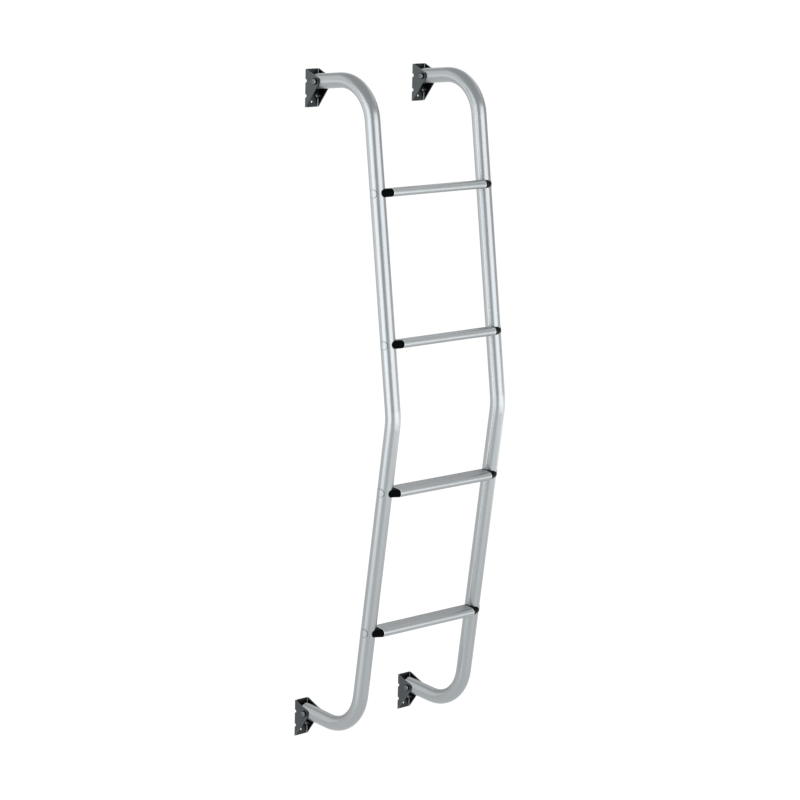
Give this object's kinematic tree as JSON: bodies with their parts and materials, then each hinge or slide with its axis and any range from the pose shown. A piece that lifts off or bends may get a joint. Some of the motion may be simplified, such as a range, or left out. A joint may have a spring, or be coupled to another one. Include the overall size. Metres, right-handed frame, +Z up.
{
  "type": "vehicle ladder",
  "caption": "Vehicle ladder of bent round-tube rails with flat ribbed treads on plastic saddles, held by swivelling steel U-brackets that bolt to a vehicle's wall.",
  "frame": {"origin": "on the upper left bracket's wall face, level with its pivot bolt", "axes": "+X along the treads from the left rail to the right one as seen from the front, +Z up, +Y into the vehicle's wall; the ladder stands out towards -Y"},
  "size_m": [0.3378, 0.2609, 1.334],
  "materials": {
    "rail_tube": "satin anodised",
    "tread": "satin anodised, ribbed on top",
    "saddle": "moulded, slightly glossy",
    "plug": "satin",
    "screw": "zinc plated",
    "bracket": "dark grey, satin",
    "bolt": "stainless",
    "washer": "black plastic",
    "nut": "stainless"
  },
  "bodies": {
    "ladder_frame": {"left_rail": "rail_tube", "right_rail": "rail_tube", "tread_1": "tread", "tread_2": "tread", "tread_3": "tread", "tread_4": "tread", "left_saddle_1": "saddle", "left_saddle_2": "saddle", "left_saddle_3": "saddle", "left_saddle_4": "saddle", "right_saddle_1": "saddle", "right_saddle_2": "saddle", "right_saddle_3": "saddle", "right_saddle_4": "saddle", "left_plug_1": "plug", "left_plug_2": "plug", "left_plug_3": "plug", "left_plug_4": "plug", "right_plug_1": "plug", "right_plug_2": "plug", "right_plug_3": "plug", "right_plug_4": "plug", "left_tread_screws": "screw", "right_tread_screws": "screw", "upper_left_bolt": "bolt", "upper_right_bolt": "bolt", "lower_left_bolt": "bolt", "lower_right_bolt": "bolt", "upper_left_washers": "washer", "upper_right_washers": "washer", "lower_left_washers": "washer", "lower_right_washers": "washer", "upper_left_nut": "nut", "upper_right_nut": "nut", "lower_left_nut": "nut", "lower_right_nut": "nut"},
    "upper_left_bracket_body": {"upper_left_bracket": "bracket"},
    "upper_right_bracket_body": {"upper_right_bracket": "bracket"},
    "lower_left_bracket_body": {"lower_left_bracket": "bracket"},
    "lower_right_bracket_body": {"lower_right_bracket": "bracket"}
  },
  "joints": [
    {"name": "upper_left_swivel", "type": "hinge", "parent": "ladder_frame", "child": "upper_left_bracket_body", "pos_m": [0, -0.029, 0], "axis": [1, 0, 0], "range_deg": [-85, 85]},
    {"name": "upper_right_swivel", "type": "hinge", "parent": "ladder_frame", "child": "upper_right_bracket_body", "pos_m": [0.288, -0.029, 0], "axis": [1, 0, 0], "range_deg": [-85, 85]},
    {"name": "lower_left_swivel", "type": "hinge", "parent": "ladder_frame", "child": "lower_left_bracket_body", "pos_m": [0, -0.029, -1.26], "axis": [1, 0, 0], "range_deg": [-85, 85]},
    {"name": "lower_right_swivel", "type": "hinge", "parent": "ladder_frame", "child": "lower_right_bracket_body", "pos_m": [0.288, -0.029, -1.26], "axis": [1, 0, 0], "range_deg": [-85, 85]}
  ]
}
